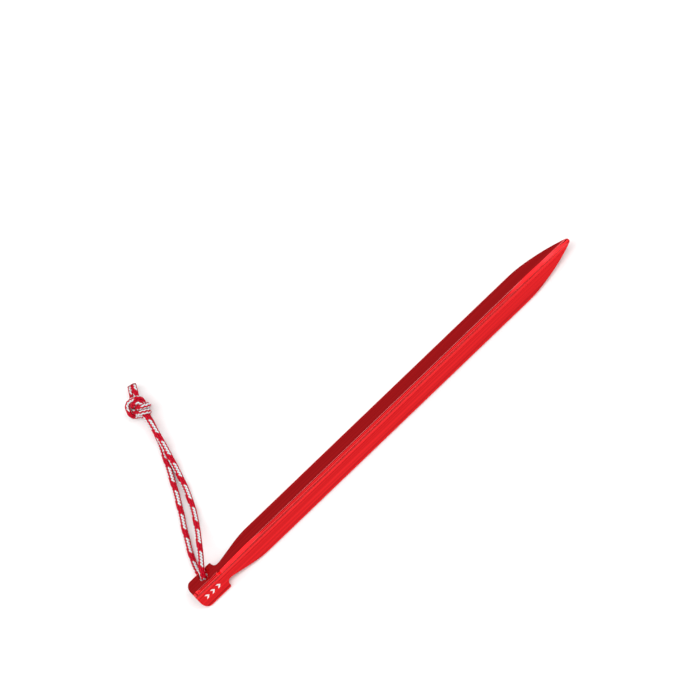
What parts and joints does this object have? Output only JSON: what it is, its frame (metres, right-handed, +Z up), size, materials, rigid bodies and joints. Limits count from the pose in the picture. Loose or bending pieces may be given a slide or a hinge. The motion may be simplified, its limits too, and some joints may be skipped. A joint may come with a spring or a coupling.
{
  "type": "tent stake",
  "caption": "Slim Y-section tent stake in red anodised aluminium, with notched head, long pointed tip and a braided pull loop tied with an overhand knot.",
  "frame": {"origin": "on the ground, below the middle of the stake's box without its cord", "axes": "+X along the stake from the head to the tip, +Z up, +Y towards the side the pull loop lies on"},
  "size_m": [0.19, 0.0848, 0.0115],
  "materials": {
    "anodised_red": "satin red anodised extrusion with fine lengthwise die lines",
    "white_print": "thin matte white print",
    "braided_cord": "round braided cord, crimson with pale tracer yarns in dashes",
    "cord_core": "straight white core yarns"
  },
  "bodies": {
    "stake": {"stake_body": "anodised_red", "blade_mark": "white_print"},
    "cord_loop": {"loop_sheath": "braided_cord", "loop_core": "cord_core", "loop_knot": "braided_cord", "tail_front": "braided_cord", "tail_back": "braided_cord"}
  },
  "joints": [
    {"name": "loop_swing", "type": "hinge", "parent": "stake", "child": "cord_loop", "pos_m": [-0.0876, 0.0031, 0.00389], "axis": [0, 0, 1], "range_deg": [-35, 105]}
  ]
}
